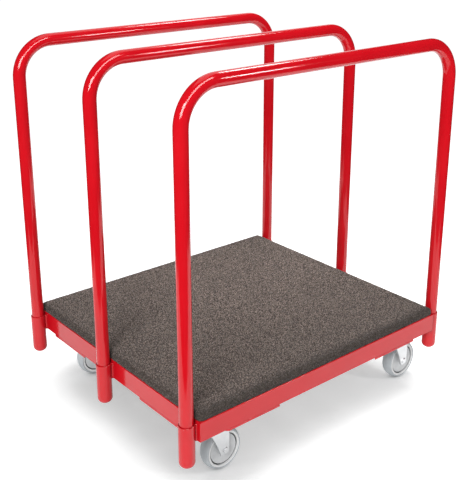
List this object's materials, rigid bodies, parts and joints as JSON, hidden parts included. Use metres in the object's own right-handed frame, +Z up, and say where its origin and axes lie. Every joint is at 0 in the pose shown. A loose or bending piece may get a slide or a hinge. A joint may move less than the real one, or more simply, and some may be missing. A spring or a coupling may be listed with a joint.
{
  "type": "drywall cart",
  "caption": "Panel cart with a carpeted deck on a welded steel frame, lift-out U-shaped tube rails that hold sheets on edge, and swivel casters.",
  "frame": {"origin": "on the floor under the middle of the cart", "axes": "+Z up, +X along the rails from the left end to the right end, +Y from the front side to the back side"},
  "size_m": [1.0396, 0.854, 1.1341],
  "materials": {
    "red_paint": "gloss",
    "carpet": "looped",
    "plywood": "raw",
    "zinc_steel": "zinc plated",
    "dark_steel": "satin",
    "tread_rubber": "matte",
    "core_plastic": "satin",
    "bushing_bronze": "satin"
  },
  "bodies": {
    "cart": {"side_rail_front": "red_paint", "side_rail_back": "red_paint", "end_rail_left": "red_paint", "end_rail_right": "red_paint", "cross_channel_left": "red_paint", "cross_channel_right": "red_paint", "gusset_front_left": "red_paint", "gusset_front_right": "red_paint", "gusset_back_left": "red_paint", "gusset_back_right": "red_paint", "socket_front_left": "red_paint", "socket_front_right": "red_paint", "socket_middle_left": "red_paint", "socket_middle_right": "red_paint", "socket_back_left": "red_paint", "socket_back_right": "red_paint", "socket_welds": "red_paint", "deck_board": "plywood", "deck_carpet": "carpet", "deck_screws": "zinc_steel", "caster_bolts": "zinc_steel", "caster_nuts": "zinc_steel", "caster_plate_front_left": "zinc_steel", "caster_plate_front_right": "zinc_steel", "caster_plate_back_left": "zinc_steel", "caster_plate_back_right": "zinc_steel", "kingpin_front_left": "dark_steel", "kingpin_front_right": "dark_steel", "kingpin_back_left": "dark_steel", "kingpin_back_right": "dark_steel"},
    "rail_front": {"rail_front": "red_paint"},
    "rail_middle": {"rail_middle": "red_paint"},
    "rail_back": {"rail_back": "red_paint"},
    "swivel_front_left": {"fork_front_left": "zinc_steel", "axle_front_left": "dark_steel", "swivel_balls_front_left": "dark_steel"},
    "wheel_front_left": {"wheel_core_front_left": "core_plastic", "tread_front_left": "tread_rubber", "wheel_bushing_front_left": "bushing_bronze"},
    "swivel_front_right": {"fork_front_right": "zinc_steel", "axle_front_right": "dark_steel", "swivel_balls_front_right": "dark_steel"},
    "wheel_front_right": {"wheel_core_front_right": "core_plastic", "tread_front_right": "tread_rubber", "wheel_bushing_front_right": "bushing_bronze"},
    "swivel_back_left": {"fork_back_left": "zinc_steel", "axle_back_left": "dark_steel", "swivel_balls_back_left": "dark_steel"},
    "wheel_back_left": {"wheel_core_back_left": "core_plastic", "tread_back_left": "tread_rubber", "wheel_bushing_back_left": "bushing_bronze"},
    "swivel_back_right": {"fork_back_right": "zinc_steel", "axle_back_right": "dark_steel", "swivel_balls_back_right": "dark_steel"},
    "wheel_back_right": {"wheel_core_back_right": "core_plastic", "tread_back_right": "tread_rubber", "wheel_bushing_back_right": "bushing_bronze"}
  },
  "joints": [
    {"name": "rail_front_lift", "type": "slide", "parent": "cart", "child": "rail_front", "axis": [0, 0, 1], "range_m": [0, 0.15]},
    {"name": "rail_middle_lift", "type": "slide", "parent": "cart", "child": "rail_middle", "axis": [0, 0, 1], "range_m": [0, 0.15]},
    {"name": "rail_back_lift", "type": "slide", "parent": "cart", "child": "rail_back", "axis": [0, 0, 1], "range_m": [0, 0.15]},
    {"name": "swivel_front_left_turn", "type": "hinge", "parent": "cart", "child": "swivel_front_left", "pos_m": [-0.3815, -0.3335, 0.175], "axis": [0, 0, 1], "continuous": true},
    {"name": "wheel_front_left_roll", "type": "hinge", "parent": "swivel_front_left", "child": "wheel_front_left", "pos_m": [-0.3345, -0.3335, 0.0635], "axis": [0, 1, 0], "continuous": true},
    {"name": "swivel_front_right_turn", "type": "hinge", "parent": "cart", "child": "swivel_front_right", "pos_m": [0.3815, -0.3335, 0.175], "axis": [0, 0, 1], "continuous": true},
    {"name": "wheel_front_right_roll", "type": "hinge", "parent": "swivel_front_right", "child": "wheel_front_right", "pos_m": [0.4285, -0.3335, 0.0635], "axis": [0, 1, 0], "continuous": true},
    {"name": "swivel_back_left_turn", "type": "hinge", "parent": "cart", "child": "swivel_back_left", "pos_m": [-0.3815, 0.3335, 0.175], "axis": [0, 0, 1], "continuous": true},
    {"name": "wheel_back_left_roll", "type": "hinge", "parent": "swivel_back_left", "child": "wheel_back_left", "pos_m": [-0.3345, 0.3335, 0.0635], "axis": [0, 1, 0], "continuous": true},
    {"name": "swivel_back_right_turn", "type": "hinge", "parent": "cart", "child": "swivel_back_right", "pos_m": [0.3815, 0.3335, 0.175], "axis": [0, 0, 1], "continuous": true},
    {"name": "wheel_back_right_roll", "type": "hinge", "parent": "swivel_back_right", "child": "wheel_back_right", "pos_m": [0.4285, 0.3335, 0.0635], "axis": [0, 1, 0], "continuous": true}
  ]
}
